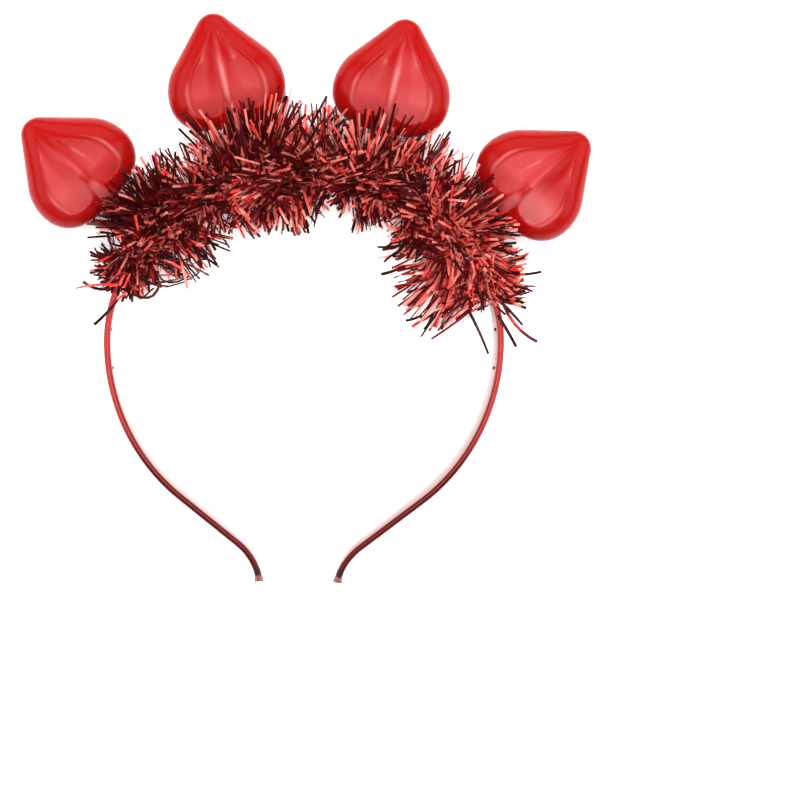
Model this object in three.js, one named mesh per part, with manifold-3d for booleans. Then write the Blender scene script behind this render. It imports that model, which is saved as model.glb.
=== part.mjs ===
// A light-up headband lying on a table: a sprung band, a tinsel garland wound round its crown, and four
// hollow lamps on posts, each with an LED inside. Sizes are millimetres and degrees, +Z is up.
// The headband is drawn in its own plane, crown towards +Y and ends towards -Y, and then laid down.

import * as THREE from "three";
import { LoftGeometry } from "three/addons/geometries/LoftGeometry.js";
import { mergeVertices } from "three/addons/utils/BufferGeometryUtils.js";
import Module from "manifold-3d";

// Clearance between neighbouring pieces
const GAP = 0.3;

// Band: half ellipse over the crown, a slightly longer one down its sides, straight runs and recurved ends
const BAND = {
  halfSpan: 69.6, // outer face, at the widest level
  crownRise: 58.95, // outer face, above the widest level
  sideDrop: 70.9, // outer face, below the widest level
  thickness: 2.4,
  width: 10,
  endWidth: 6,
  taperLength: 48, // stretch before each end where the width narrows
  recurveRadius: 20,
  edgeSteps: 4, // facets round each half-round edge
};
const ARMS = [
  { side: -1, sideArc: 51, straight: 26.4, recurve: 45 },
  { side: 1, sideArc: 52.8, straight: 27.6, recurve: 43 },
];
const ARM_FACETS = { crown: 8, side: 7, straight: 1, recurve: 5 };
const PIP = { radius: 0.9, proud: 0.45, levels: [4, -9.5], detail: 1 };

// Lamps: where each post stands round the crown, how far it leans, and the post's free length
const LAMPS = [
  { name: "1", at: -50.2, lean: -48.6, post: 17.45 },
  { name: "2", at: -16.4, lean: -12.8, post: 18.55 },
  { name: "3", at: 19.9, lean: 13.2, post: 17.75 },
  { name: "4", at: 53.35, lean: 50.3, post: 15.75 },
];
// Lamp outline, measured from its tip: round tip, straight sides, round shoulders, blunt base
const SHELL = {
  tipRadius: 6.5,
  sideAngle: 41,
  widest: 27,
  halfWidth: 20.7,
  length: 40.4,
  baseHalf: 5,
  baseRound: 2.2, // 2 is an ellipse, more is squarer
};
const SHELL_DEPTH = { half: 11, taper: 0.6, baseFall: 0.25, squareness: 2.4, wall: 1.6 };
// Two scooped lobes on each face, whose outer edges make a smaller heart inside the outline
const HEART = {
  tipRadius: 0.8,
  sideAngle: 36,
  widest: 24,
  halfWidth: 13.8,
  length: 30.5,
  baseHalf: 0,
  baseRound: 2,
};
const SCOOP = {
  start: 4.5, // from the tip
  full: 27,
  depth: 2,
  lobeStart: 26.5, // from here each lobe rounds off towards the base
  lobeLength: 9,
  lobeRound: 3,
  ridgeHalf: 0.1,
  ridgeWidth: 2.2, // slope up to the ridge between the lobes
  wallWidth: 1.7, // slope up to the border
  bowlShare: 0.5, // share of the depth that falls evenly to the middle of the lobe
  floorSlope: 0.35, // share of the dome's own slope that the floor keeps
};
// The post's rounded rib between the lobes towards the base
const RIB = { start: 30, full: 34.5, halfWidth: 2, height: 1.1 };
const SHELL_STATIONS = 14;
const CAVITY_STATIONS = 9;
const STATION_EASE = 0.75; // 1 crowds the stations most at the tip and base
// Columns from the outline (0) over the crest (1) to the ridge (2)
const SHELL_COLUMNS = [0, 0.15, 0.5, 1, 1.14, 1.55, 2];
const CAVITY_COLUMNS = [0, 0.5, 1, 1.5, 2];
const SHELL_TIP_START = 0.35; // flat left at the very tip
const CREST_LEAST = 0.35; // share of the half width where the crest runs out at the tip
const LEAST_SHARE = 0.15; // the cavity's ends keep this share of the lamp's section

// Post and LED
const POST = { radius: 2, inLamp: 9.5, sides: 12 };
const LED = { radius: 2.5, flangeRadius: 2.9, flange: 1, height: 8, facets: 4, sides: 10 };

// Tinsel: a sleeve on the band and foil strips fused to it
const TINSEL = { from: -74, to: 79, sleeveWall: 1.1, seed: 41 };
// How far the garland stands off the band's centre line, towards the head and towards the lamps
const GARLAND = [
  { angle: -78, inner: 8, outer: 16 },
  { angle: -62, inner: 20, outer: 23 },
  { angle: -44, inner: 26, outer: 25 },
  { angle: -24, inner: 17, outer: 29 },
  { angle: -2, inner: 25, outer: 30 },
  { angle: 13, inner: 9, outer: 29 },
  { angle: 23, inner: 22, outer: 30 },
  { angle: 34, inner: 12, outer: 27 },
  { angle: 46, inner: 27, outer: 26 },
  { angle: 62, inner: 32, outer: 23 },
  { angle: 72, inner: 26, outer: 20 },
  { angle: 82, inner: 8, outer: 17 },
];
const STRIPS = {
  count: 215,
  spacingJitter: 0.4, // share of the step from strip to strip
  shortening: 0.35, // most that a strip falls short of the garland's reach, as a share of it
  shortest: 2,
  root: [1.4, 0.9], // width and thickness of a lock of strips, which fans out
  tip: [3, 0.7],
  slant: 26, // most lean along the band
  endSlant: 62, // most outward lean at the two ends
  endLength: 16,
  turn: 137.5, // step round the band from strip to strip
  turnJitter: 25,
  lampClearance: 1,
  floorClearance: 1.5,
};

const FINISHES = {
  band: { color: 0xa8161c, roughness: 0.25, metalness: 0.8 },
  tinsel: { color: 0xb0141a, roughness: 0.2, metalness: 0.9 },
  lamp: { color: 0xdc2420, roughness: 0.2, metalness: 0 },
  post: { color: 0xd9a3a0, roughness: 0.35, metalness: 0 },
  led: { color: 0xf2e6de, roughness: 0.15, metalness: 0 },
};

const wasm = await Module();
wasm.setup();
const radians = THREE.MathUtils.degToRad;
const { lerp, smoothstep } = THREE.MathUtils;

function toSolid(geometry) {
  const bare = new THREE.BufferGeometry();
  bare.setAttribute("position", geometry.attributes.position);
  bare.setIndex(geometry.index);
  const merged = mergeVertices(bare);
  const vertProperties = merged.attributes.position.array;
  const triVerts = new Uint32Array(merged.index.array);
  return new wasm.Manifold(new wasm.Mesh({ numProp: 3, vertProperties, triVerts }));
}

function toGeometry(solid) {
  const { vertProperties, triVerts } = solid.getMesh();
  const geometry = new THREE.BufferGeometry();
  geometry.setAttribute("position", new THREE.BufferAttribute(vertProperties, 3));
  geometry.setIndex(new THREE.BufferAttribute(triVerts, 1));
  geometry.computeVertexNormals();
  return geometry;
}

function named(name, geometry, finish) {
  const mesh = new THREE.Mesh(geometry, new THREE.MeshStandardMaterial(FINISHES[finish]));
  mesh.name = name;
  return mesh;
}

const capped = { capStart: true, capEnd: true };

// Band

const midOffset = BAND.thickness / 2;
const midSpan = BAND.halfSpan - midOffset;
const midRise = BAND.crownRise - midOffset;
const midDrop = BAND.sideDrop - midOffset;

// Centre line of one arm as curves from the middle of the crown to the arm's end, drawn on the +X side
function armCurves({ sideArc, straight, recurve }) {
  const sideEnd = -radians(sideArc);
  const crown = new THREE.EllipseCurve(0, 0, midSpan, midRise, Math.PI / 2, 0, true);
  const side = new THREE.EllipseCurve(0, 0, midSpan, midDrop, 0, sideEnd, true);
  const along = new THREE.Vector2(midSpan * Math.sin(sideEnd), -midDrop * Math.cos(sideEnd)).normalize();
  const runStart = side.getPoint(1);
  const runEnd = runStart.clone().addScaledVector(along, straight);
  const outside = new THREE.Vector2(-along.y, along.x);
  const centre = runEnd.clone().addScaledVector(outside, BAND.recurveRadius);
  const first = outside.angle() + Math.PI;
  const last = first + radians(recurve);
  const radius = BAND.recurveRadius;
  const end = new THREE.EllipseCurve(centre.x, centre.y, radius, radius, first, last, false);
  return { crown, side, straight: new THREE.LineCurve(runStart, runEnd), recurve: end };
}

// Stations along one arm: place, heading from left to right, and strip width
function armStations(arm) {
  const curves = Object.entries(armCurves(arm));
  let toEnd = curves.reduce((sum, [, curve]) => sum + curve.getLength(), 0);
  const list = [];
  curves.forEach(([stretch, curve]) => {
    const facets = ARM_FACETS[stretch];
    for (let k = list.length ? 1 : 0; k <= facets; k += 1) {
      const left = toEnd - (curve.getLength() * k) / facets;
      const width = lerp(BAND.endWidth, BAND.width, Math.min(1, left / BAND.taperLength));
      const point = curve.getPoint(k / facets);
      const heading = curve.getTangent(k / facets);
      point.x *= arm.side;
      heading.y *= arm.side;
      list.push({ point, heading, width });
    }
    toEnd -= curve.getLength();
  });
  return list;
}

// A flat strip with half-round edges, carried along stations and grown on every side
function stripLoft(stations, grow) {
  const sections = stations.map(({ point, heading, width }) => {
    const edge = midOffset + grow;
    const edgeCentre = width / 2 - midOffset;
    const section = [];
    [1, -1].forEach((up) => {
      for (let k = 0; k <= BAND.edgeSteps; k += 1) {
        const angle = Math.PI * (k / BAND.edgeSteps - 0.5);
        const out = -up * edge * Math.sin(angle);
        const rise = up * (edgeCentre + edge * Math.cos(angle));
        section.push(new THREE.Vector3(point.x - heading.y * out, point.y + heading.x * out, rise));
      }
    });
    return section;
  });
  return new LoftGeometry(sections, capped);
}

const [leftArm, rightArm] = ARMS.map(armStations);
const stations = [...leftArm.reverse(), ...rightArm.slice(1)];
const bandClearance = stripLoft(stations, GAP);

function bandSolid() {
  let solid = toSolid(stripLoft(stations, 0));
  const inset = midOffset + PIP.proud - PIP.radius;
  ARMS.forEach(({ side }) => {
    PIP.levels.forEach((level) => {
      const rise = level > 0 ? midRise : midDrop;
      const across = midSpan * Math.sqrt(1 - (level / rise) ** 2);
      const pip = new THREE.IcosahedronGeometry(PIP.radius, PIP.detail);
      pip.translate(side * (across - inset), level, 0);
      solid = solid.add(toSolid(pip));
    });
  });
  return solid;
}

// Lamps

// Half width of a heart outline at a distance from its tip
function halfWidthAt(outline, distance) {
  const { tipRadius, widest, halfWidth, length, baseHalf, baseRound } = outline;
  const side = radians(outline.sideAngle);
  const slope = Math.tan(side);
  const tipEnd = tipRadius * (1 - Math.sin(side));
  const tipHalf = tipRadius * Math.cos(side);
  const shoulder = (tipHalf + (widest - tipEnd) * slope - halfWidth) / (1 / Math.cos(side) - 1);
  const sideEnd = widest - shoulder * Math.sin(side);
  if (distance <= 0) return 0;
  if (distance < tipEnd) return Math.sqrt(distance * (2 * tipRadius - distance));
  if (distance < sideEnd) return tipHalf + (distance - tipEnd) * slope;
  const toWidest = widest - distance;
  if (toWidest > 0) return halfWidth - shoulder + Math.sqrt(shoulder ** 2 - toWidest ** 2);
  const fall = Math.min(1, (distance - widest) / (length - widest));
  return baseHalf + (halfWidth - baseHalf) * (1 - fall ** baseRound) ** (1 / baseRound);
}

// Outer edge of the scoops, carried on past both their ends in proportion to the outline
function crestAt(distance) {
  const reach = Math.min(distance, SCOOP.lobeStart);
  const share = halfWidthAt(HEART, reach - SCOOP.start) / halfWidthAt(SHELL, reach);
  return halfWidthAt(SHELL, distance) * Math.max(CREST_LEAST, share);
}

// Middle and half width of a lobe
function lobeAt(distance) {
  const { start, lobeStart, lobeLength, lobeRound, ridgeHalf } = SCOOP;
  const past = THREE.MathUtils.clamp((distance - lobeStart) / lobeLength, 0, 1);
  const outer = halfWidthAt(HEART, Math.min(distance, lobeStart) - start);
  const rounded = (1 - past ** lobeRound) ** (1 / lobeRound);
  return { middle: (outer + ridgeHalf) / 2, half: ((outer - ridgeHalf) / 2) * rounded, past };
}

// Height of the plain dome over the lamp's middle plane
function domeHeight(distance, across) {
  const half = halfWidthAt(SHELL, distance);
  const { half: deepest, taper, baseFall, squareness } = SHELL_DEPTH;
  const fall = 1 - baseFall * smoothstep(distance, SHELL.widest, SHELL.length);
  const depth = deepest * fall * (half / SHELL.halfWidth) ** taper;
  const share = Math.min(1, across / half);
  return depth * (1 - share ** squareness) ** (1 / squareness);
}

// Height of the lamp's face, with its lobes sunk into the dome and the rib on top
function faceHeight(distance, across) {
  let face = domeHeight(distance, across);
  const { middle, half, past } = lobeAt(distance);
  const room = half - Math.abs(across - middle);
  if (distance > SCOOP.start && room > 0) {
    const ridgeSide = lerp(SCOOP.ridgeWidth, SCOOP.wallWidth, past);
    const slope = across < middle ? ridgeSide : SCOOP.wallWidth;
    const crisp = smoothstep(room, 0, Math.min(slope, half));
    const sunk = lerp(crisp, smoothstep(room, 0, half), SCOOP.bowlShare);
    const level = domeHeight(distance, middle + (across - middle) * SCOOP.floorSlope);
    const depth = SCOOP.depth * smoothstep(distance, SCOOP.start, SCOOP.full);
    face = lerp(face, Math.min(face, level), crisp) - depth * sunk;
  }
  const ribShare = Math.min(1, across / RIB.halfWidth);
  return face + RIB.height * smoothstep(distance, RIB.start, RIB.full) * Math.sqrt(1 - ribShare ** 2);
}

// One closed body of the lamp's form, pulled in by an inset, with stations close together at both ends
function lampBody(count, inset, columns) {
  const first = Math.max(inset, SHELL_TIP_START);
  const mirrored = [...columns].reverse();
  const quarters = [
    { x: 1, z: 1, steps: columns },
    { x: -1, z: 1, steps: mirrored },
    { x: -1, z: -1, steps: columns },
    { x: 1, z: -1, steps: mirrored },
  ];
  const sections = [];
  for (let k = 0; k <= count; k += 1) {
    const eased = lerp(k / count, (1 - Math.cos((Math.PI * k) / count)) / 2, STATION_EASE);
    const distance = lerp(first, SHELL.length - inset, eased);
    const half = halfWidthAt(SHELL, distance);
    const crest = crestAt(distance);
    const section = [];
    quarters.forEach(({ x, z, steps }) => {
      steps.slice(0, -1).forEach((step) => {
        const across = step <= 1 ? lerp(half, crest, step) : lerp(crest, 0, step - 1);
        const height = faceHeight(distance, across);
        const drawnIn = across * Math.max(LEAST_SHARE, 1 - inset / half);
        const lowered = Math.max(height * LEAST_SHARE, height - inset);
        section.push(new THREE.Vector3(x * drawnIn, SHELL.length - distance, z * lowered));
      });
    });
    sections.push(section);
  }
  return new LoftGeometry(sections, capped);
}

function lampGeometry() {
  const outer = toSolid(lampBody(SHELL_STATIONS, 0, SHELL_COLUMNS));
  const cavity = toSolid(lampBody(CAVITY_STATIONS, SHELL_DEPTH.wall, CAVITY_COLUMNS));
  const bore = new THREE.CylinderGeometry(POST.radius + GAP, POST.radius + GAP, POST.inLamp, POST.sides);
  return toGeometry(outer.subtract(cavity).subtract(toSolid(bore)));
}

// Foot of a lamp's post on the band's centre line
function postFoot({ at, lean, post }) {
  const foot = new THREE.Vector2(midSpan * Math.sin(radians(at)), midRise * Math.cos(radians(at)));
  const along = new THREE.Vector2(Math.sin(radians(lean)), Math.cos(radians(lean)));
  const base = foot.clone().addScaledVector(along, midOffset + post);
  return { foot, along, base };
}

function lampGroup(lamp) {
  const group = new THREE.Group();
  const { base } = postFoot(lamp);
  group.position.set(base.x, base.y, 0);
  group.rotation.z = -radians(lamp.lean);
  group.updateMatrix();
  const bandHere = new THREE.BufferGeometry().copy(bandClearance);
  bandHere.applyMatrix4(group.matrix.clone().invert());

  const below = lamp.post + midOffset;
  const post = new THREE.CylinderGeometry(POST.radius, POST.radius, below + POST.inLamp, POST.sides);
  post.translate(0, (POST.inLamp - below) / 2, 0);
  const cutPost = toGeometry(toSolid(post).subtract(toSolid(bandHere)));

  const profile = new THREE.Path();
  profile.moveTo(0, 0);
  profile.lineTo(LED.flangeRadius, 0);
  profile.lineTo(LED.flangeRadius, LED.flange);
  profile.lineTo(LED.radius, LED.flange);
  profile.lineTo(LED.radius, LED.height - LED.radius);
  profile.absarc(0, LED.height - LED.radius, LED.radius, 0, Math.PI / 2, false);
  const led = new THREE.LatheGeometry(profile.getPoints(LED.facets / 2), LED.sides);
  led.translate(0, POST.inLamp + GAP, 0);

  group.add(named(`lamp_${lamp.name}`, lampGeometry(), "lamp"));
  group.add(named(`lamp_stem_${lamp.name}`, cutPost, "post"));
  group.add(named(`led_${lamp.name}`, led, "led"));
  return group;
}

// Rest on the table: the plane under the two ends of the band and the backs of the outer lamps

const endLevel = (stations[0].point.y + stations.at(-1).point.y) / 2;
const lampLevels = [LAMPS[0], LAMPS.at(-1)].map((lamp) => {
  const { base, along } = postFoot(lamp);
  return base.y + along.y * (SHELL.length - SHELL.widest);
});
const lampLevel = (lampLevels[0] + lampLevels[1]) / 2;
const tableSlope = (BAND.endWidth / 2 - SHELL_DEPTH.half) / (lampLevel - endLevel);
const tableUnder = (y) => -BAND.endWidth / 2 + tableSlope * (y - endLevel);

// Tinsel

// Repeatable random numbers from 0 to 1, and from -1 to 1
THREE.MathUtils.seededRandom(TINSEL.seed);
const random = () => THREE.MathUtils.seededRandom();
const spread = () => random() * 2 - 1;

// Whether a point lies in a lamp or close to it
function insideLamp(point) {
  const near = STRIPS.lampClearance;
  return LAMPS.some((lamp) => {
    const { base, along } = postFoot(lamp);
    const dx = point.x - base.x;
    const dy = point.y - base.y;
    const distance = SHELL.length - (dx * along.x + dy * along.y);
    const across = Math.abs(dx * along.y - dy * along.x);
    const inner = THREE.MathUtils.clamp(distance, SHELL_TIP_START, SHELL.length);
    const half = halfWidthAt(SHELL, inner);
    if (Math.abs(distance - inner) > near || across > half + near) return false;
    return Math.abs(point.z) < faceHeight(inner, Math.max(0, across - near)) + near;
  });
}

// Place, heading and outward normal on the covered stretch of the band, share 0 at the left end
function coveredAt(share) {
  const seen = lerp(TINSEL.from, TINSEL.to, share);
  const angle = radians(seen);
  const polar = Math.atan2(Math.sin(angle) / midSpan, Math.cos(angle) / midRise);
  const point = new THREE.Vector3(midSpan * Math.sin(polar), midRise * Math.cos(polar), 0);
  const heading = new THREE.Vector3(midSpan * Math.cos(polar), -midRise * Math.sin(polar), 0).normalize();
  return { point, heading, outward: new THREE.Vector3(-heading.y, heading.x, 0), seen };
}

// Reach of the garland at an angle round the crown, for a strip that points outwards by a share
function garlandReach(seen, outwards) {
  const next = GARLAND.findIndex((row) => row.angle > seen);
  const [low, high] = [GARLAND[next - 1], GARLAND[next]];
  const between = (seen - low.angle) / (high.angle - low.angle);
  const inner = lerp(low.inner, high.inner, between);
  const outer = lerp(low.outer, high.outer, between);
  return lerp(inner, outer, outwards);
}

// A tapered strip, flat with a low back, from one point to another
function foilStrip(from, to, flat) {
  const along = to.clone().sub(from).normalize();
  const wide = flat.clone().addScaledVector(along, -flat.dot(along)).normalize();
  const thin = along.clone().cross(wide);
  const corners = [
    [-0.5, -0.5],
    [0.5, -0.5],
    [0, 0.5],
  ];
  const ends = [
    { at: from, size: STRIPS.root },
    { at: to, size: STRIPS.tip },
  ];
  const sections = ends.map(({ at, size: [width, thickness] }) =>
    corners.map(([a, b]) => {
      const corner = at.clone().addScaledVector(wide, a * width);
      return corner.addScaledVector(thin, b * thickness);
    }),
  );
  return new LoftGeometry(sections, capped);
}

function tinselSolid() {
  const covered = stations.filter(({ point }) => {
    const angle = THREE.MathUtils.radToDeg(Math.atan2(point.x, point.y));
    return angle > TINSEL.from && angle < TINSEL.to && point.y > -midRise;
  });
  const ends = [0, 1].map((share) => {
    const { point, heading } = coveredAt(share);
    return { point: new THREE.Vector2(point.x, point.y), heading, width: BAND.width };
  });
  const run = [ends[0], ...covered, ends[1]];
  const solids = [toSolid(stripLoft(run, GAP + TINSEL.sleeveWall))];
  const sleeveLength = run.slice(1).reduce((sum, s, i) => sum + s.point.distanceTo(run[i].point), 0);
  const endShare = STRIPS.endLength / sleeveLength;
  const rootDepth = midOffset + GAP + TINSEL.sleeveWall / 2;

  for (let k = 0; k < STRIPS.count; k += 1) {
    const share = (k + 0.5 + spread() * STRIPS.spacingJitter) / STRIPS.count;
    const { point, heading, outward, seen } = coveredAt(share);
    const turn = radians(k * STRIPS.turn + spread() * STRIPS.turnJitter);
    const toEnd = Math.max(0, 1 - share / endShare, 1 - (1 - share) / endShare);
    const outwards = share < 0.5 ? -1 : 1;
    const endSlant = outwards * random() * STRIPS.endSlant;
    const slant = radians(lerp(spread() * STRIPS.slant, endSlant, toEnd));
    const spoke = outward.clone().multiplyScalar(Math.cos(turn)).setZ(Math.sin(turn));
    const along = spoke.clone().multiplyScalar(Math.cos(slant)).addScaledVector(heading, Math.sin(slant));
    const from = point.clone().addScaledVector(outward, Math.cos(turn) * rootDepth);
    from.z += Math.sin(turn) * (BAND.width / 2 - midOffset + rootDepth);
    const full = garlandReach(seen, (1 + Math.cos(turn)) / 2);
    let reach = full * (1 - STRIPS.shortening * random()) - from.distanceTo(point);
    const to = new THREE.Vector3();
    do {
      to.copy(from).addScaledVector(along, reach);
      reach -= 1;
    } while (insideLamp(to) && reach > STRIPS.shortest);
    to.z = Math.max(to.z, tableUnder(to.y) + STRIPS.floorClearance);
    solids.push(toSolid(foilStrip(from, to, heading)));
  }
  let tinsel = wasm.Manifold.union(solids).subtract(toSolid(bandClearance));
  LAMPS.forEach((lamp) => {
    const { foot } = postFoot(lamp);
    const radius = POST.radius + GAP;
    const hole = new THREE.CylinderGeometry(radius, radius, 2 * lamp.post, POST.sides);
    hole.translate(0, lamp.post, 0);
    hole.rotateZ(-radians(lamp.lean));
    hole.translate(foot.x, foot.y, 0);
    tinsel = tinsel.subtract(toSolid(hole));
  });
  // A strip that a post's hole cuts through loses its far end
  const [whole] = tinsel.decompose().sort((a, b) => b.volume() - a.volume());
  return whole;
}

// Assembly, laid on the table with its box centred on the origin

const headband = new THREE.Group();
headband.add(named("band", toGeometry(bandSolid()), "band"));
headband.add(named("tinsel", toGeometry(tinselSolid()), "tinsel"));
LAMPS.forEach((lamp) => headband.add(lampGroup(lamp)));
headband.rotation.x = -Math.atan(tableSlope);

const laid = new THREE.Group();
laid.add(headband);
laid.updateMatrixWorld(true);
const box = new THREE.Box3().setFromObject(headband, true);
const middle = box.getCenter(new THREE.Vector3());
headband.position.set(-middle.x, -middle.y, -box.min.z);

export default laid;
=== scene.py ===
"""Looks of a light-up headband that lies on a table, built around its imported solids.

Lengths in the size classes are millimetres in the headband's own plane, and angles are degrees.
Finished meshes are in metres, in the row frame.
"""

import logging
import math
from dataclasses import dataclass
from enum import Enum
from typing import Any, Sequence

import bmesh
import bpy
import numpy as np
from mathutils import Matrix, Vector

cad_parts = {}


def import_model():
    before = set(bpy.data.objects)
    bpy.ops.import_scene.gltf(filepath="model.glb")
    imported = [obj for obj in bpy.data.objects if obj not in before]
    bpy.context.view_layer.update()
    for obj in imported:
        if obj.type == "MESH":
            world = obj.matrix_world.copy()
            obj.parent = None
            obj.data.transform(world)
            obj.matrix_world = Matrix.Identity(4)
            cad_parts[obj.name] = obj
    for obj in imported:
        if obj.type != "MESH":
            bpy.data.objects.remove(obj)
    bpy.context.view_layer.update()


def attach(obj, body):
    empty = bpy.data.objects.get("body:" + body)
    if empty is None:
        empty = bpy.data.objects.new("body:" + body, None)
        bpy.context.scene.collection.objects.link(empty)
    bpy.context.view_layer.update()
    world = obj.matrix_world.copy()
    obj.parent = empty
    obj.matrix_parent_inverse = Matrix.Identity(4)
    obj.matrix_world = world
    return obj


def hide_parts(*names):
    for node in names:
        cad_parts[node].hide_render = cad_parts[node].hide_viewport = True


LOG = logging.getLogger("headband")
MM = 0.001
TINY = 1e-6
WELD = 1e-4


class Slot(Enum):
    """Material slots of the record."""

    BAND = "metallised_band"
    TINSEL = "foil_tinsel"
    LAMP = "lamp_plastic"
    STEM = "stem_plastic"
    LED = "led_epoxy"


def linear(colour: str) -> tuple[float, float, float, float]:
    """Turn an sRGB hex colour into linear RGBA.

    Args:
        colour: Six hex digits after a hash sign.

    Returns:
        Linear red, green and blue, and an alpha of 1.
    """
    parts = [int(colour[i : i + 2], 16) / 255 for i in (1, 3, 5)]
    curve = [p / 12.92 if p <= 0.04045 else ((p + 0.055) / 1.055) ** 2.4 for p in parts]
    return (curve[0], curve[1], curve[2], 1.0)


def lerp(low: float, high: float, share: float) -> float:
    """Blend from low to high."""
    return low + (high - low) * share


def smoothstep(value: float, low: float, high: float) -> float:
    """Ease from 0 at low to 1 at high."""
    share = min(1.0, max(0.0, (value - low) / (high - low)))
    return share * share * (3 - 2 * share)


def add_node(tree: bpy.types.NodeTree, kind: str, inputs: dict[Any, Any], **settings: Any) -> bpy.types.Node:
    """Add a shader node with its settings and inputs.

    Args:
        tree: Node tree of the material.
        kind: Blender's node type.
        inputs: Input name or number to a value, or to an output socket that is linked to it.
        **settings: Properties of the node itself.

    Returns:
        The new node.
    """
    node = tree.nodes.new(kind)
    for name, value in settings.items():
        setattr(node, name, value)
    for key, value in inputs.items():
        if isinstance(value, bpy.types.NodeSocket):
            tree.links.new(value, node.inputs[key])
        else:
            node.inputs[key].default_value = value
    return node


def new_material(name: str) -> tuple[bpy.types.Material, bpy.types.NodeTree]:
    """Make an empty node material.

    Args:
        name: Name of the real material.

    Returns:
        The material and its node tree.
    """
    material = bpy.data.materials.new(name)
    material.use_nodes = True
    material.node_tree.nodes.clear()
    return material, material.node_tree


def surface(tree: bpy.types.NodeTree, inputs: dict[Any, Any]) -> None:
    """Close a material with a Principled shader.

    Args:
        tree: Node tree of the material.
        inputs: Inputs of the shader.
    """
    shader = add_node(tree, "ShaderNodeBsdfPrincipled", inputs)
    add_node(tree, "ShaderNodeOutputMaterial", {"Surface": shader.outputs["BSDF"]})


@dataclass(frozen=True)
class MouldedPolystyrene:
    """Thin translucent polystyrene, injection moulded in a polished tool.

    The eye sees a deep even red, paler lobes where the reflection of the lamps overhead is painted
    in, painted highlights along the moulded edges, and soft reflections that the faint orange peel of
    the moulding ruffles.
    """

    name: str = "translucent_moulded_polystyrene"
    deep: str = "#900A08"
    light: str = "#9A0E0C"
    # Colour of the painted reflection of the lamps overhead on the lobes.
    lobe_reflection: str = "#A62C2E"
    # Colour of the painted highlights on the moulded edges, which also lightens the rib.
    edge: str = "#C07070"
    roughness: float = 0.19
    cloud_mm: float = 14.0
    peel_mm: float = 2.2

    def material(self) -> bpy.types.Material:
        """Make the material.

        Returns:
            The new material.
        """
        material, tree = new_material(self.name)
        place = add_node(tree, "ShaderNodeTexCoord", {}).outputs["Object"]
        cloud = add_node(
            tree, "ShaderNodeTexNoise", {"Vector": place, "Scale": 1 / (self.cloud_mm * MM), "Detail": 2.0}
        )
        colour = add_node(
            tree,
            "ShaderNodeMix",
            {0: cloud.outputs["Fac"], 6: linear(self.deep), 7: linear(self.light)},
            data_type="RGBA",
        )
        tinted = colour.outputs[2]
        # Painted light: the lobes take the painted reflection of the lamps overhead, the moulded edges
        # painted highlights, and the rib a lighter pink.
        for layer, over in (("lobe_reflection", self.lobe_reflection), ("edge_light", self.edge)):
            share = add_node(tree, "ShaderNodeAttribute", {}, attribute_name=layer)
            mix = add_node(
                tree,
                "ShaderNodeMix",
                {0: share.outputs["Fac"], 6: tinted, 7: linear(over)},
                data_type="RGBA",
            )
            tinted = mix.outputs[2]
        peel = add_node(
            tree, "ShaderNodeTexNoise", {"Vector": place, "Scale": 1 / (self.peel_mm * MM), "Detail": 1.0}
        )
        bump = add_node(
            tree, "ShaderNodeBump", {"Height": peel.outputs["Fac"], "Strength": 0.04, "Distance": 0.2 * MM}
        )
        surface(
            tree,
            {
                "Base Color": tinted,
                "Roughness": self.roughness,
                "IOR": 1.47,
                "Specular IOR Level": 0.1,
                "Subsurface Weight": 0.55,
                "Subsurface Radius": (1.0, 0.12, 0.1),
                "Subsurface Scale": 2.5 * MM,
                "Normal": bump.outputs["Normal"],
            },
        )
        return material


@dataclass(frozen=True)
class MetallisedPlastic:
    """Springy plastic strip with a vacuum-metallised red coat.

    The eye sees a bright line along the rounded edge between dark red flanks, a pale inner face that mirrors
    the table, painted shade that darkens the coat towards the ends and on the arms' inner side, and a
    dark band just before each end.
    """

    name: str = "metallised_red_plastic"
    coat: str = "#962F2D"
    # Coat darkened by painted shade towards the ends of the arms and on their inner side.
    shaded_coat: str = "#571716"
    inner: str = "#916A68"
    # Colour of the dark band before each end and of the pips.
    dark_band: str = "#361F1F"
    end: str = "#86595B"
    streak_mm: float = 3.0

    def material(self) -> bpy.types.Material:
        """Make the material.

        Returns:
            The new material.
        """
        material, tree = new_material(self.name)
        place = add_node(tree, "ShaderNodeTexCoord", {}).outputs["Object"]
        inward = add_node(tree, "ShaderNodeAttribute", {}, attribute_name="inward")
        darkened = add_node(tree, "ShaderNodeAttribute", {}, attribute_name="darkened")
        arm_shade = add_node(tree, "ShaderNodeAttribute", {}, attribute_name="arm_shade")
        tip = add_node(tree, "ShaderNodeAttribute", {}, attribute_name="tip")
        streak = add_node(
            tree, "ShaderNodeTexNoise", {"Vector": place, "Scale": 1 / (self.streak_mm * MM), "Detail": 3.0}
        )
        facing = add_node(
            tree,
            "ShaderNodeMapRange",
            {"Value": inward.outputs["Fac"], "From Min": 0.8, "From Max": 0.98},
            interpolation_type="SMOOTHSTEP",
        )
        mixed = linear(self.coat)
        # Layers in turn: painted shade on the arms, the pale inner face, the end's own colour, and the dark
        # band before each end and on the pips.
        for share, over in (
            (arm_shade.outputs["Fac"], self.shaded_coat),
            (facing.outputs["Result"], self.inner),
            (tip.outputs["Fac"], self.end),
            (darkened.outputs["Fac"], self.dark_band),
        ):
            layer = add_node(tree, "ShaderNodeMix", {0: share, 6: mixed, 7: linear(over)}, data_type="RGBA")
            mixed = layer.outputs[2]
        gloss = add_node(
            tree,
            "ShaderNodeMapRange",
            {"Value": streak.outputs["Fac"], "To Min": 0.14, "To Max": 0.3},
        )
        surface(
            tree,
            {
                "Base Color": mixed,
                "Metallic": 0.85,
                "Roughness": gloss.outputs["Result"],
            },
        )
        return material


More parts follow.
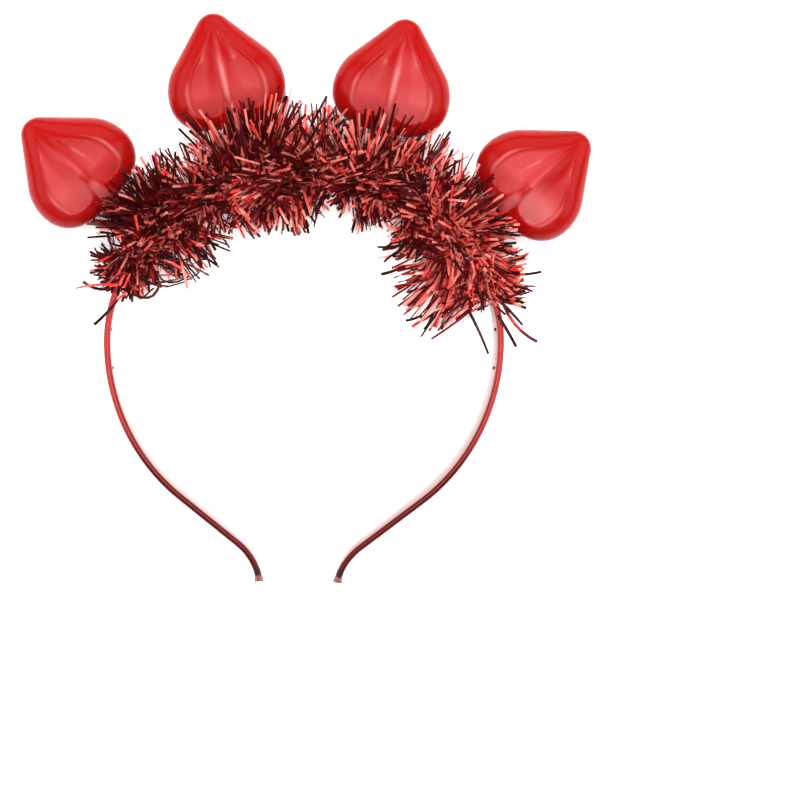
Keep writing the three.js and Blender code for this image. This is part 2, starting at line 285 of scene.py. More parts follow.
@dataclass(frozen=True)
class MetallisedFilm:
    """Red metallised polyester film, slit into narrow tinsel strips.

    The eye sees hard glints and near-black strips side by side, because each flat strip mirrors either
    a lamp or the dark of the room, and a little ripple from the slitting. These reflections are painted
    into the colour through the tone attribute.
    """

    name: str = "red_metallised_film"
    dark: str = "#321113"
    shade: str = "#A0181C"
    bright: str = "#FF4E46"
    glint: str = "#FF9A8C"
    roughness: float = 0.22
    sheen: float = 0.15
    ripple_mm: float = 1.6

    def material(self) -> bpy.types.Material:
        """Make the material.

        Returns:
            The new material.
        """
        material, tree = new_material(self.name)
        place = add_node(tree, "ShaderNodeTexCoord", {}).outputs["Object"]
        tone = add_node(tree, "ShaderNodeAttribute", {}, attribute_name="tone")
        # The tone attribute paints each strip's reflection: near-black where it mirrors the dark room, red up
        # to a pale glint where it mirrors a lamp.
        ramp = add_node(tree, "ShaderNodeValToRGB", {"Fac": tone.outputs["Fac"]})
        stops = ((0.0, self.dark), (0.36, self.shade), (0.68, self.bright), (1.0, self.glint))
        while len(ramp.color_ramp.elements) < len(stops):
            ramp.color_ramp.elements.new(0.5)
        for stop, (place_on_ramp, colour) in zip(ramp.color_ramp.elements, stops):
            stop.position = place_on_ramp
            stop.color = linear(colour)
        ripple = add_node(
            tree, "ShaderNodeTexNoise", {"Vector": place, "Scale": 1 / (self.ripple_mm * MM), "Detail": 1.0}
        )
        bump = add_node(
            tree, "ShaderNodeBump", {"Height": ripple.outputs["Fac"], "Strength": 0.25, "Distance": 0.3 * MM}
        )
        surface(
            tree,
            {
                "Base Color": ramp.outputs["Color"],
                "Metallic": 0.4,
                "Specular IOR Level": self.sheen,
                "Roughness": self.roughness,
                "Normal": bump.outputs["Normal"],
            },
        )
        return material


@dataclass(frozen=True)
class FrostedTube:
    """Extruded clear plastic tube, pink from the red light around it, with a satin skin."""

    name: str = "frosted_pink_tube"
    body: str = "#AB4543"
    line_mm: float = 1.2

    def material(self) -> bpy.types.Material:
        """Make the material.

        Returns:
            The new material.
        """
        material, tree = new_material(self.name)
        place = add_node(tree, "ShaderNodeTexCoord", {}).outputs["Object"]
        lines = add_node(
            tree, "ShaderNodeTexNoise", {"Vector": place, "Scale": 1 / (self.line_mm * MM), "Detail": 2.0}
        )
        gloss = add_node(
            tree,
            "ShaderNodeMapRange",
            {"Value": lines.outputs["Fac"], "To Min": 0.22, "To Max": 0.42},
        )
        surface(
            tree,
            {
                "Base Color": linear(self.body),
                "Roughness": gloss.outputs["Result"],
                "IOR": 1.5,
                "Transmission Weight": 0.35,
                "Subsurface Weight": 0.4,
                "Subsurface Radius": (1.0, 0.4, 0.4),
                "Subsurface Scale": 2.0 * MM,
            },
        )
        return material


@dataclass(frozen=True)
class CastEpoxy:
    """Clear epoxy cast round an LED, water-clear with a faint milky cloud."""

    name: str = "cast_led_epoxy"
    body: str = "#F7EFE6"
    cloud_mm: float = 1.5

    def material(self) -> bpy.types.Material:
        """Make the material.

        Returns:
            The new material.
        """
        material, tree = new_material(self.name)
        place = add_node(tree, "ShaderNodeTexCoord", {}).outputs["Object"]
        cloud = add_node(
            tree, "ShaderNodeTexNoise", {"Vector": place, "Scale": 1 / (self.cloud_mm * MM), "Detail": 1.0}
        )
        gloss = add_node(
            tree,
            "ShaderNodeMapRange",
            {"Value": cloud.outputs["Fac"], "To Min": 0.05, "To Max": 0.12},
        )
        surface(
            tree,
            {
                "Base Color": linear(self.body),
                "Roughness": gloss.outputs["Result"],
                "IOR": 1.54,
                "Transmission Weight": 0.7,
            },
        )
        return material


@dataclass(frozen=True)
class PaleFloor:
    """Matt pale light table, with a faint glow that keeps shadows thin."""

    name: str = "pale_table"
    body: str = "#FAFAFA"
    glow: float = 0.35

    def material(self) -> bpy.types.Material:
        """Make the material.

        Returns:
            The new material.
        """
        material, tree = new_material(self.name)
        surface(
            tree,
            {
                "Base Color": linear(self.body),
                "Roughness": 0.9,
                "Specular IOR Level": 0.1,
                "Emission Color": linear(self.body),
                "Emission Strength": self.glow,
            },
        )
        return material


@dataclass(frozen=True)
class Lay:
    """How the headband's own plane lies in the row frame: crown a little raised."""

    tilt: float = 3.253
    offset: tuple[float, float, float] = (-1.01884, -14.43868, 7.91809)

    def matrix(self) -> Matrix:
        """Give the transform from the band's plane in millimetres to the row frame in metres."""
        turned = Matrix.Translation(self.offset) @ Matrix.Rotation(math.radians(self.tilt), 4, "X")
        return Matrix.Diagonal((MM, MM, MM, 1)) @ turned

    def place(self, points: np.ndarray) -> np.ndarray:
        """Lay points of the band's plane down, still in millimetres.

        Args:
            points: Array whose last axis is x, y and z.

        Returns:
            Array of the same shape.
        """
        turn = np.array(Matrix.Rotation(math.radians(self.tilt), 3, "X"))
        return points @ turn.T + np.array(self.offset)


@dataclass(frozen=True)
class Station:
    """One place along the band: the heading from left to right, the length left to the end, the twist."""

    x: float
    y: float
    heading: tuple[float, float]
    to_end: float
    twist: float


@dataclass(frozen=True)
class Arm:
    """Half of the band: the arc down its side, the straight run, the turned-out end and its slight twist."""

    side: int
    side_arc: float
    straight: float
    recurve: float
    twist: float
    twist_levels: tuple[float, float]


@dataclass(frozen=True)
class Arch:
    """Centre line of the band: half ellipse over the crown, then round sides and turned-out ends."""

    half_span: float = 68.4
    rise: float = 57.75
    drop: float = 69.7
    half_thickness: float = 1.2
    recurve_radius: float = 20.0
    twist_end: tuple[float, float] = (2.0, 12.0)
    arms: tuple[Arm, Arm] = (
        Arm(side=-1, side_arc=51.0, straight=26.4, recurve=45, twist=4.5, twist_levels=(-50.0, 15.0)),
        Arm(side=1, side_arc=52.8, straight=27.6, recurve=43, twist=8.0, twist_levels=(4.0, 30.0)),
    )
    steps: tuple[int, int, int, int] = (44, 34, 8, 18)

    def crown(self, polar: np.ndarray) -> tuple[np.ndarray, np.ndarray]:
        """Place and heading on the crown's ellipse.

        Args:
            polar: Ellipse angle from the middle of the crown, in radians, positive to the right.

        Returns:
            Points and unit headings, each with x, y and z last.
        """
        zero = np.zeros_like(polar)
        point = np.stack([self.half_span * np.sin(polar), self.rise * np.cos(polar), zero], axis=-1)
        heading = np.stack([self.half_span * np.cos(polar), -self.rise * np.sin(polar), zero], axis=-1)
        return point, heading / np.linalg.norm(heading, axis=-1, keepdims=True)

    def seen(self, angle: np.ndarray) -> np.ndarray:
        """Turn angles as seen from the band's centre, in degrees, into ellipse angles in radians."""
        turned = np.radians(angle)
        return np.arctan2(np.sin(turned) / self.half_span, np.cos(turned) / self.rise)

    def arm_line(self, arm: Arm) -> list[tuple[float, float, float, float]]:
        """Walk down one arm, drawn on the right.

        Args:
            arm: The arm.

        Returns:
            Rows of x, y and the heading's x and y, from the crown to the end.
        """
        over, down, run, turn = self.steps
        rows = []
        for k in range(over + 1):
            p = math.pi / 2 * (1 - k / over)
            length = math.hypot(self.half_span * math.sin(p), self.rise * math.cos(p))
            heading = (self.half_span * math.sin(p) / length, -self.rise * math.cos(p) / length)
            rows.append((self.half_span * math.cos(p), self.rise * math.sin(p), *heading))
        last = -math.radians(arm.side_arc)
        for k in range(1, down + 1):
            p = last * k / down
            along = Vector((self.half_span * math.sin(p), -self.drop * math.cos(p))).normalized()
            rows.append((self.half_span * math.cos(p), self.drop * math.sin(p), along.x, along.y))
        start = Vector(rows[-1][:2])
        for k in range(1, run + 1):
            point = start + along * (arm.straight * k / run)
            rows.append((point.x, point.y, along.x, along.y))
        outside = Vector((-along.y, along.x))
        centre = Vector(rows[-1][:2]) + outside * self.recurve_radius
        first = math.atan2(outside.y, outside.x) + math.pi
        for k in range(1, turn + 1):
            p = first + math.radians(arm.recurve) * k / turn
            point = centre + self.recurve_radius * Vector((math.cos(p), math.sin(p)))
            rows.append((point.x, point.y, -math.sin(p), math.cos(p)))
        return rows

    def stations(self) -> list[Station]:
        """List the stations of the whole band from the left end to the right end.

        Returns:
            The stations in order.
        """
        halves = []
        for arm in self.arms:
            rows = self.arm_line(arm)
            left = 0.0
            half = []
            for k in range(len(rows) - 1, -1, -1):
                if k < len(rows) - 1:
                    left += math.dist(rows[k][:2], rows[k + 1][:2])
                x, y, run_x, run_y = rows[k]
                twist = arm.twist * (1 - smoothstep(y, *arm.twist_levels))
                twist *= smoothstep(left, *self.twist_end)
                half.append(Station(x * arm.side, y, (run_x, run_y * arm.side), left, twist))
            halves.append(half)
        left_half, right_half = halves
        return left_half + right_half[::-1][1:]


def new_piece(
    name: str,
    mesh: bpy.types.Mesh,
    material: bpy.types.Material,
    nodes: Sequence[str],
    sharp: float,
) -> None:
    """Put a finished mesh into the scene in place of its solids.

    Args:
        name: Name of the piece.
        mesh: Mesh in metres, in the row frame.
        material: Its material.
        nodes: Solids that it stands for.
        sharp: Edges that turn by more than this many degrees stay sharp.
    """
    mesh.polygons.foreach_set("use_smooth", np.ones(len(mesh.polygons), dtype=bool))
    mesh.set_sharp_from_angle(angle=math.radians(sharp))
    mesh.materials.append(material)
    piece = bpy.data.objects.new(name, mesh)
    bpy.context.scene.collection.objects.link(piece)
    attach(piece, "root")
    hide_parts(*nodes)
    mesh.calc_loop_triangles()
    LOG.info("%s: %d triangles", name, len(mesh.loop_triangles))


def to_mesh(form: bmesh.types.BMesh, name: str, matrix: Matrix) -> bpy.types.Mesh:
    """Write a bmesh to a mesh, placed by a matrix, and free it.

    Args:
        form: The bmesh, in millimetres.
        name: Name of the mesh.
        matrix: Transform to the row frame.

    Returns:
        The mesh.
    """
    bmesh.ops.transform(form, matrix=matrix, verts=form.verts)
    mesh = bpy.data.meshes.new(name)
    form.to_mesh(mesh)
    form.free()
    return mesh


@dataclass
class Band:
    """The sprung strip, with half-round edges, tapered arms, flared ends and pips inside its arms."""

    arch: Arch
    finish: MetallisedPlastic
    width: float = 10.0
    end_width: float = 6.0
    taper_length: float = 48.0
    flare: float = 0.45
    flare_length: float = 2.2
    # The dark band just before each end; the pips take the same darkening.
    dark_band_from: tuple[float, float] = (1.9, 2.5)
    dark_band_to: tuple[float, float] = (4.2, 5.2)
    # Painted shade: the coat darkens over the last part of each arm, and over a longer part on its inner
    # side.
    arm_shade: tuple[float, float] = (54.0, 84.0)
    arm_shade_edge: tuple[float, float] = (75.0, 112.0)
    edge_share: float = 0.9
    edge_turn: tuple[float, float] = (0.1, 0.6)
    ring: int = 28
    pip_radius: float = 0.65
    pip_proud: float = 0.4
    pip_levels: tuple[float, float] = (4.0, -9.5)
    pip_rise: float = 1.6
    pip_dark: float = 0.85

    def section(self, station: Station, turn: float) -> Vector:
        """Find one point of the strip's outline.

        Args:
            station: Place along the band.
            turn: Angle round the outline from the outer face, in radians.

        Returns:
            The point in the band's plane.
        """
        flared = self.flare * (1 - smoothstep(station.to_end, 0, self.flare_length))
        half = self.arch.half_thickness + flared
        width = lerp(self.end_width, self.width, min(1.0, station.to_end / self.taper_length))
        out = half * math.cos(turn)
        edge = self.arch.half_thickness
        rise = math.copysign(width / 2 - edge, math.sin(turn)) + edge * math.sin(turn)
        lean = -math.radians(station.twist)
        leant = out * math.cos(lean) - rise * math.sin(lean)
        height = out * math.sin(lean) + rise * math.cos(lean)
        run_x, run_y = station.heading
        return Vector((station.x - run_y * leant, station.y + run_x * leant, height))

    def build_strip(self, form: bmesh.types.BMesh) -> None:
        """Extrude the outline from station to station and close both ends.

        Args:
            form: Bmesh that takes the strip.
        """
        turn_layer = form.verts.layers.float.new("turn")
        inward_layer = form.verts.layers.float.new("inward")
        darkened_layer = form.verts.layers.float.new("darkened")
        arm_shade_layer = form.verts.layers.float.new("arm_shade")
        tip_layer = form.verts.layers.float.new("tip")
        ring = bmesh.ops.create_circle(form, cap_ends=False, radius=1, segments=self.ring)["verts"]
        for k, vert in enumerate(ring):
            vert[turn_layer] = 2 * math.pi * (k + 0.5) / self.ring
            vert[inward_layer] = -math.cos(vert[turn_layer])
        edges = list(form.edges)
        stations = self.arch.stations()
        for k, station in enumerate(stations):
            if k > 0:
                grown = bmesh.ops.extrude_edge_only(form, edges=edges)["geom"]
                ring = [g for g in grown if isinstance(g, bmesh.types.BMVert)]
                edges = [g for g in grown if isinstance(g, bmesh.types.BMEdge)]
            past_tip = smoothstep(station.to_end, *self.dark_band_from)
            dark_band = past_tip * (1 - smoothstep(station.to_end, *self.dark_band_to))
            # Painted shade, towards the end of the arm and on its inward-turned faces.
            arm_shade = 1 - smoothstep(station.to_end, *self.arm_shade)
            edge = self.edge_share * (1 - smoothstep(station.to_end, *self.arm_shade_edge))
            for vert in ring:
                vert.co = self.section(station, vert[turn_layer])
                vert[darkened_layer] = dark_band
                vert[arm_shade_layer] = max(arm_shade, edge * smoothstep(vert[inward_layer], *self.edge_turn))
                vert[tip_layer] = 1 - past_tip
        bmesh.ops.holes_fill(form, edges=[e for e in form.edges if e.is_boundary])
        bmesh.ops.recalc_face_normals(form, faces=form.faces)

    def build_pips(self, form: bmesh.types.BMesh) -> None:
        """Set the moulding pips half into the inner faces.

        Args:
            form: Bmesh that takes the pips.
        """
        darkened_layer = form.verts.layers.float["darkened"]
        inset = self.arch.half_thickness + self.pip_proud - self.pip_radius
        for arm in self.arch.arms:
            for level in self.pip_levels:
                rise = self.arch.rise if level > 0 else self.arch.drop
                across = self.arch.half_span * math.sqrt(1 - (level / rise) ** 2)
                middle = Matrix.Translation((arm.side * (across - inset), level, self.pip_rise))
                pip = bmesh.ops.create_uvsphere(
                    form, u_segments=14, v_segments=10, radius=self.pip_radius, matrix=middle
                )
                for vert in pip["verts"]:
                    vert[darkened_layer] = self.pip_dark

    def build(self, lay: Lay) -> None:
        """Build the band and dress it.

        Args:
            lay: How the headband lies.
        """
        form = bmesh.new()
        self.build_strip(form)
        self.build_pips(form)
        mesh = to_mesh(form, "band_strip", lay.matrix())
        new_piece("band_strip", mesh, self.finish.material(), ["band"], sharp=40)


@dataclass(frozen=True)
class Outline:
    """Heart outline measured from its tip: round tip, straight sides, round shoulders, blunt base."""

    tip_radius: float
    side_angle: float
    widest: float
    half_width: float
    length: float
    base_half: float
    base_round: float = 2.0

    def half_at(self, distance: float) -> float:
        """Half width at a distance from the tip.

        Args:
            distance: Distance along the axis.

        Returns:
            Half width there.
        """
        side = math.radians(self.side_angle)
        slope = math.tan(side)
        tip_end = self.tip_radius * (1 - math.sin(side))
        tip_half = self.tip_radius * math.cos(side)
        drawn = tip_half + (self.widest - tip_end) * slope - self.half_width
        shoulder = drawn / (1 / math.cos(side) - 1)
        side_end = self.widest - shoulder * math.sin(side)
        if distance <= 0:
            return 0.0
        if distance < tip_end:
            return math.sqrt(distance * (2 * self.tip_radius - distance))
        if distance < side_end:
            return tip_half + (distance - tip_end) * slope
        if distance < self.widest:
            return self.half_width - shoulder + math.sqrt(shoulder**2 - (self.widest - distance) ** 2)
        fall = min(1.0, (distance - self.widest) / (self.length - self.widest))
        rounded = (1 - fall**self.base_round) ** (1 / self.base_round)
        return self.base_half + (self.half_width - self.base_half) * rounded


@dataclass(frozen=True)
class LampPlace:
    """Where a lamp's post stands, its lean, the post's free length, and the light painted on its lobes.

    The lit lobe, whose painted reflection reaches towards the tip, is -1 for the left one, 1 for the
    right one and 0 for neither. The last pair gives how strongly a highlight is painted at the base end
    of the left and the right lobe.
    """

    name: str
    at: float
    lean: float
    post: float
    lit: int
    end_highlight: tuple[float, float]


LAMPS = (
    LampPlace("1", at=-50.2, lean=-48.6, post=17.45, lit=-1, end_highlight=(0.2, 0.0)),
    LampPlace("2", at=-16.4, lean=-12.8, post=18.55, lit=0, end_highlight=(0.1, 0.1)),
    LampPlace("3", at=19.9, lean=13.2, post=17.75, lit=1, end_highlight=(0.15, 0.25)),
    LampPlace("4", at=53.35, lean=50.3, post=15.75, lit=-1, end_highlight=(0.1, 0.6)),
)


@dataclass
class Lamp:
    """A hollow heart-shaped shell with two scoops on each face and a rib at its base."""

    outline: Outline = Outline(
        tip_radius=6.5, side_angle=41, widest=27, half_width=20.7, length=40.4, base_half=5, base_round=2.2
    )
    heart: Outline = Outline(
        tip_radius=0.8, side_angle=36, widest=24, half_width=13.8, length=30.5, base_half=0
    )
    half_depth: float = 11.0
    depth_taper: float = 0.6
    base_fall: float = 0.25
    squareness: float = 2.4
    wall: float = 1.6
    scoop_start: float = 4.5
    scoop_full: float = 27.0
    lobe_start: float = 26.5
    lobe_length: float = 9.0
    lobe_power: float = 3.0
    ridge_half: float = 0.5
    ridge_width: float = 2.2
    wall_width: float = 1.7
    scoop_depth: float = 2.0
    bowl_share: float = 0.5
    floor_slope: float = 0.35
    # How far down the lobes the reflection of the lamps overhead is painted: from near the tip on the lit
    # lobe, further down and weaker on the other.
    reflection_fade: tuple[float, float] = (13.0, 29.0)
    lit_reflection_fade: tuple[float, float] = (4.5, 20.0)
    unlit_share: float = 0.85
    # Painted highlights: along the ridge of lamps that face the far lights, round the lobes' round ends, and
    # at the lobes' base ends.
    ridge_line: tuple[float, float] = (11.0, 21.0)
    ridge_fade: tuple[float, float] = (27.0, 35.0)
    ridge_highlight_width: float = 0.9
    ridge_turn: float = 54.0
    arc_line: tuple[float, float] = (20.0, 26.0)
    arc_fade: tuple[float, float] = (0.6, 0.98)
    arc_highlight_width: float = 0.55
    arc_share: float = 0.5
    end_highlight_span: tuple[float, float] = (19.0, 31.0)
    rib: tuple[float, float] = (30.0, 34.5)
    rib_half: float = 2.0
    rib_height: float = 1.1
    rib_tint: float = 0.4
    least: float = 0.15
    crest_least: float = 0.35
    bore: float = 2.3
    rows: int = 112
    columns: int = 104
    border_share: float = 0.4
    border_power: float = 1.6
    rim_share: float = 0.999
    crowd: float = 0.75
    seam: float = 2e-3
    cover_steps: int = 42
    cover_least: float = 0.1

    def crest_at(self, distance: float) -> float:
        """Outer edge of the scoops, carried on past both their ends in proportion to the outline.

        Args:
            distance: Distance from the tip.

        Returns:
            Distance of the edge from the axis.
        """
        reach = min(distance, self.lobe_start)
        share = self.heart.half_at(reach - self.scoop_start) / max(self.outline.half_at(reach), TINY)
        return self.outline.half_at(distance) * max(self.crest_least, share)

    def lobe_span(self, distance: float) -> tuple[float, float, float]:
        """Middle and half width of a lobe, and how far past its widest part a place is.

        Args:
            distance: Distance from the tip.

        Returns:
            Middle, half width and share of the lobe's round end.
        """
        past = min(1.0, max(0.0, distance - self.lobe_start) / self.lobe_length)
        outer = self.heart.half_at(min(distance, self.lobe_start) - self.scoop_start)
        rounded = (1 - past**self.lobe_power) ** (1 / self.lobe_power)
        return (outer + self.ridge_half) / 2, (outer - self.ridge_half) / 2 * rounded, past

    def lobe_at(self, distance: float, across: float) -> float:
        """Tell how far a place lies inside a scooped lobe.

        Args:
            distance: Distance from the tip.
            across: Distance from the axis.

        Returns:
            0 outside, 1 on the lobe's flat floor.
        """
        middle, half, past = self.lobe_span(distance)
        room = half - abs(across - middle)
        if distance <= self.scoop_start or room <= 0:
            return 0.0
        ease = self.wall_width
        if across < middle:
            ease = lerp(self.ridge_width, self.wall_width, past)
        return smoothstep(room, 0, min(ease, half))

    def reflection_at(self, distance: float, across: float, lit: bool) -> float:
        """Tell how strongly the reflection of the lamps overhead is painted on a lobe at a place.

        Args:
            distance: Distance from the tip.
            across: Distance from the axis.
            lit: Whether the lobe is on the lamp's lit side.

        Returns:
            0 on the border, 1 on a lobe that shows the full painted reflection.
        """
        middle, half, past = self.lobe_span(distance)
        inside = across if past > 0 else max(across, middle)
        room = half - abs(inside - middle)
        fade = self.unlit_share * smoothstep(distance, *self.reflection_fade)
        if lit:
            fade = smoothstep(distance, *self.lit_reflection_fade)
        return smoothstep(room, 0, self.wall_width) * fade

    def edge_at(self, distance: float, across: float, lean: float) -> float:
        """Tell how strongly a highlight is painted on a moulded edge: the ridge, and the round end of each
        lobe.

        Args:
            distance: Distance from the tip.
            across: Distance from the axis.
            lean: How far the lamp leans to a side.

        Returns:
            0 on plain faces, 1 on a bright edge.
        """
        middle, half, past = self.lobe_span(distance)
        along = smoothstep(distance, *self.ridge_line) * (1 - smoothstep(distance, *self.ridge_fade))
        facing = max(0.0, 1 - abs(lean) / self.ridge_turn)
        ridge = facing * along * math.exp(-((across / self.ridge_highlight_width) ** 2))
        if across < middle:
            return ridge
        room = half - abs(across - middle)
        arc = smoothstep(distance, *self.arc_line) * (1 - smoothstep(past, *self.arc_fade))
        return max(ridge, self.arc_share * arc * math.exp(-((room / self.arc_highlight_width) ** 2)))

    def dome_at(self, distance: float, across: float) -> float:
        """Height of the plain dome over the lamp's middle plane.

        Args:
            distance: Distance from the tip.
            across: Distance from the axis.

        Returns:
            Height there.
        """
        half = max(self.outline.half_at(distance), TINY)
        fall = 1 - self.base_fall * smoothstep(distance, self.outline.widest, self.outline.length)
        depth = self.half_depth * fall * (half / self.outline.half_width) ** self.depth_taper
        share = min(1.0, across / half)
        return depth * (1 - share**self.squareness) ** (1 / self.squareness)

    def face_height(self, distance: float, across: float) -> float:
        """Height of the face over the lamp's middle plane, with its flat lobes sunk into the dome.

        Args:
            distance: Distance from the tip.
            across: Distance from the axis.

        Returns:
            Height there.
        """
        dome = self.dome_at(distance, across)
        lobe = self.lobe_at(distance, across)
        if lobe > 0:
            middle, half, _ = self.lobe_span(distance)
            level = self.dome_at(distance, middle + (across - middle) * self.floor_slope)
            depth = self.scoop_depth * smoothstep(distance, self.scoop_start, self.scoop_full)
            sunk = lerp(lobe, smoothstep(half - abs(across - middle), 0, half), self.bowl_share)
            dome = lerp(dome, min(dome, level), lobe) - depth * sunk
        return dome + self.rib_height * self.rib_at(distance, across)

    def rib_at(self, distance: float, across: float) -> float:
        """Height of the round rib over the post, as a share of its full height.

        Args:
            distance: Distance from the tip.
            across: Distance from the axis.

        Returns:
            Share of the rib's height there.
        """
        share = min(1.0, across / self.rib_half)
        return smoothstep(distance, *self.rib) * math.sqrt(1 - share**2)

    def half_shell(self, form: bmesh.types.BMesh, inset: float, place: LampPlace) -> None:
        """Shape a grid into the front half of the shell, pulled in by an inset.

        Args:
            form: Bmesh that takes the grid.
            inset: Distance inside the outer surface.
            place: The lamp's place, which its light depends on.
        """
        edge_light = form.verts.layers.float.new("edge_light")
        lobe_reflection = form.verts.layers.float.new("lobe_reflection")
        grid = bmesh.ops.create_grid(form, x_segments=self.columns, y_segments=self.rows, size=1)["verts"]
        for vert in grid:
            run = (vert.co.y + 1) / 2
            eased = lerp(run, (1 - math.cos(math.pi * run)) / 2, self.crowd)
            distance = lerp(inset, self.outline.length - inset, eased)
            half = self.outline.half_at(distance)
            crest = self.crest_at(distance)
            step = 1 - abs(vert.co.x)
            if step < self.border_share:
                across = lerp(half, crest, (step / self.border_share) ** self.border_power)
            else:
                across = lerp(crest, 0, (step - self.border_share) / (1 - self.border_share))
            height = self.face_height(distance, across)
            drawn = across * max(self.least, 1 - inset / max(half, TINY))
            low = 0.0
            if across < half * self.rim_share:
                low = max(height * self.least, height - inset)
            vert.co = Vector((math.copysign(drawn, vert.co.x), self.outline.length - distance, low))
            side = math.copysign(1, vert.co.x)
            # The edge layer: painted highlights on the ridge, round the lobes' ends and at their base ends,
            # and the rib's pink, partly the post showing through and partly painted highlight.
            rib = self.rib_tint * self.rib_at(distance, across) ** 0.5
            edge = self.edge_at(distance, across, place.lean)
            end = place.end_highlight[side > 0] * smoothstep(distance, *self.end_highlight_span)
            # Painted reflection of the lamps overhead on the lobes, reaching further on the lit side.
            vert[lobe_reflection] = self.reflection_at(distance, across, lit=side == place.lit)
            vert[edge_light] = max(rib, edge, end * vert[lobe_reflection])

    def shell(self, inset: float, place: LampPlace) -> bmesh.types.BMesh:
        """Make one closed-sided skin of the lamp, open at its base.

        Args:
            inset: Distance inside the outer surface.
            place: The lamp's place.

        Returns:
            A new bmesh.
        """
        form = bmesh.new()
        self.half_shell(form, inset, place)
        whole = form.verts[:] + form.edges[:] + form.faces[:]
        bmesh.ops.mirror(form, geom=whole, axis="Z", merge_dist=WELD)
        bmesh.ops.remove_doubles(form, verts=form.verts, dist=self.seam)
        bmesh.ops.dissolve_degenerate(form, dist=WELD, edges=form.edges)
        bmesh.ops.recalc_face_normals(form, faces=form.faces)
        return form

    def model(self, place: LampPlace) -> bmesh.types.BMesh:
        """Make the whole shell: outer skin, flat base round the post, and the hollow inside.

        Args:
            place: The lamp's place.

        Returns:
            The shell in the lamp's own frame.
        """
        form = self.shell(0, place)
        rim = [e for e in form.edges if e.is_boundary]
        grown = bmesh.ops.extrude_edge_only(form, edges=rim)["geom"]
        for vert in [g for g in grown if isinstance(g, bmesh.types.BMVert)]:
            flat = Vector((vert.co.x, 0, vert.co.z)).normalized()
            vert.co = flat * self.bore
        hollow = self.shell(self.wall, place)
        bmesh.ops.reverse_faces(hollow, faces=hollow.faces)
        inner = bpy.data.meshes.new("lamp_hollow")
        hollow.to_mesh(inner)
        hollow.free()
        form.from_mesh(inner)
        bpy.data.meshes.remove(inner)
        open_edges = [e for e in form.edges if e.is_boundary]
        bmesh.ops.bridge_loops(form, edges=open_edges)
        return form

    def foot(self, arch: Arch, place: LampPlace) -> Matrix:
        """Give the lamp's own frame in the band's plane, with its base at the origin.

        Args:
            arch: Centre line of the band.
            place: The lamp's place.

        Returns:
            The lamp's frame.
        """
        at = math.radians(place.at)
        lean = math.radians(place.lean)
        along = Vector((math.sin(lean), math.cos(lean), 0))
        stand = Vector((arch.half_span * math.sin(at), arch.rise * math.cos(at), 0))
        base = stand + along * (arch.half_thickness + place.post)
        return Matrix.Translation(base) @ Matrix.Rotation(-lean, 4, "Z")

    def covers(self, arch: Arch, points: np.ndarray, near: float) -> np.ndarray:
        """Find the points that lie in a lamp or close to one.

        Args:
            arch: Centre line of the band.
            points: Points in the band's plane, x, y and z last.
            near: Clearance to keep.

        Returns:
            True for each point inside.
        """
        distances = np.linspace(0, self.outline.length, self.cover_steps)
        halves = np.array([self.outline.half_at(d) for d in distances])
        inside = np.zeros(points.shape[:-1], dtype=bool)
        for place in LAMPS:
            back = np.array(self.foot(arch, place).inverted())
            local = points @ back[:3, :3].T + back[:3, 3]
            distance = self.outline.length - local[..., 1]
            half = np.interp(distance, distances, halves)
            fits = (distance > -near) & (distance < self.outline.length + near)
            fullness = np.maximum(half, self.cover_least) / self.outline.half_width
            depth = self.half_depth * fullness**self.depth_taper
            share = np.clip(np.abs(local[..., 0]) / (half + near), 0, 1)
            dome = (depth + near) * (1 - share**self.squareness) ** (1 / self.squareness)
            inside |= fits & (share < 1) & (np.abs(local[..., 2]) < dome)
        return inside


